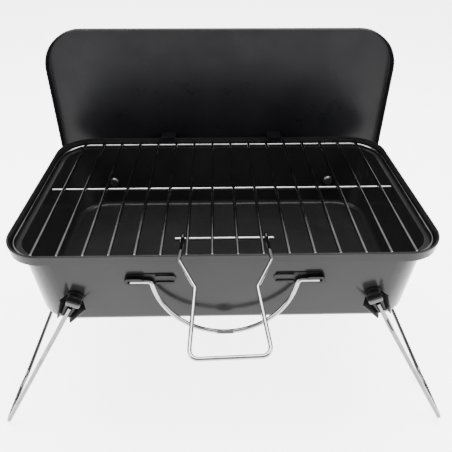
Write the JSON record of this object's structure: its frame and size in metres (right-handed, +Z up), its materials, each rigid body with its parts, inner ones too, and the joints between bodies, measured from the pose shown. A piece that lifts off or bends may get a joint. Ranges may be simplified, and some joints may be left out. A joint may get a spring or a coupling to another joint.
{
  "type": "folding camp grill",
  "caption": "Portable charcoal grill: stepped steel tray with drop-in wire grate, lid hung on its rear rim, folding wire legs clamped by wing knobs, and a front carrying bail.",
  "frame": {"origin": "centre of the tray's flat underside", "axes": "+Z up, +X to the right along the grill's long side, -Y to the front, where the bail and the grate handle are"},
  "size_m": [0.5874, 0.4087, 0.4385],
  "materials": {
    "black_enamel": "gloss",
    "black_fittings": "satin",
    "chrome_wire": "bright plated",
    "plated_steel": "zinc plated",
    "black_plastic": "satin moulded"
  },
  "bodies": {
    "tray_body": {"tray": "black_enamel", "bail_lug_left": "black_fittings", "bail_lug_right": "black_fittings", "leg_bolts": "plated_steel", "leg_spacers": "plated_steel"},
    "lid": {"lid_pan": "black_enamel", "lid_hook_left": "black_enamel", "lid_hook_right": "black_enamel"},
    "grate": {"grate_frame": "chrome_wire", "grate_cross_bar": "chrome_wire", "grate_hinge_bar": "chrome_wire", "grate_bar_01": "chrome_wire", "grate_bar_02": "chrome_wire", "grate_bar_03": "chrome_wire", "grate_bar_04": "chrome_wire", "grate_bar_05": "chrome_wire", "grate_bar_06": "chrome_wire", "grate_bar_07": "chrome_wire", "grate_bar_08": "chrome_wire", "grate_bar_09": "chrome_wire", "grate_bar_10": "chrome_wire", "grate_bar_11": "chrome_wire", "grate_bar_12": "chrome_wire", "grate_bar_13": "chrome_wire", "grate_bar_14": "chrome_wire", "grate_bar_15": "chrome_wire", "grate_bar_16": "chrome_wire"},
    "handle": {"grate_handle": "chrome_wire"},
    "left_leg": {"left_leg_wire": "chrome_wire", "left_front_bracket": "black_fittings", "left_rear_bracket": "black_fittings"},
    "right_leg": {"right_leg_wire": "chrome_wire", "right_front_bracket": "black_fittings", "right_rear_bracket": "black_fittings"},
    "bail": {"bail_wire": "chrome_wire"},
    "left_front_wing_knob": {"left_front_knob": "black_plastic"},
    "left_rear_wing_knob": {"left_rear_knob": "black_plastic"},
    "right_front_wing_knob": {"right_front_knob": "black_plastic"},
    "right_rear_wing_knob": {"right_rear_knob": "black_plastic"}
  },
  "joints": [
    {"name": "lid_lift", "type": "slide", "parent": "tray_body", "child": "lid", "axis": [0, 0, 1], "range_m": [0, 0.16]},
    {"name": "grate_lift", "type": "slide", "parent": "tray_body", "child": "grate", "axis": [0, 0, 1], "range_m": [0, 0.1]},
    {"name": "handle_fold", "type": "hinge", "parent": "grate", "child": "handle", "pos_m": [0, -0.1, 0.097], "axis": [-1, 0, 0], "range_deg": [0, 150]},
    {"name": "left_leg_fold", "type": "hinge", "parent": "tray_body", "child": "left_leg", "pos_m": [-0.163, 0, 0.04], "axis": [0, -1, 0], "range_deg": [0, 102]},
    {"name": "right_leg_fold", "type": "hinge", "parent": "tray_body", "child": "right_leg", "pos_m": [0.163, 0, 0.04], "axis": [0, 1, 0], "range_deg": [0, 102]},
    {"name": "bail_swing", "type": "hinge", "parent": "tray_body", "child": "bail", "pos_m": [0, -0.13128, 0.065], "axis": [-1, 0, 0], "range_deg": [0, 80]},
    {"name": "left_front_knob_turn", "type": "hinge", "parent": "tray_body", "child": "left_front_wing_knob", "pos_m": [-0.163, -0.13, 0.04], "axis": [0, -1, 0], "range_deg": [0, 180]},
    {"name": "left_rear_knob_turn", "type": "hinge", "parent": "tray_body", "child": "left_rear_wing_knob", "pos_m": [-0.163, 0.13, 0.04], "axis": [0, 1, 0], "range_deg": [0, 180]},
    {"name": "right_front_knob_turn", "type": "hinge", "parent": "tray_body", "child": "right_front_wing_knob", "pos_m": [0.163, -0.13, 0.04], "axis": [0, -1, 0], "range_deg": [0, 180]},
    {"name": "right_rear_knob_turn", "type": "hinge", "parent": "tray_body", "child": "right_rear_wing_knob", "pos_m": [0.163, 0.13, 0.04], "axis": [0, 1, 0], "range_deg": [0, 180]}
  ]
}
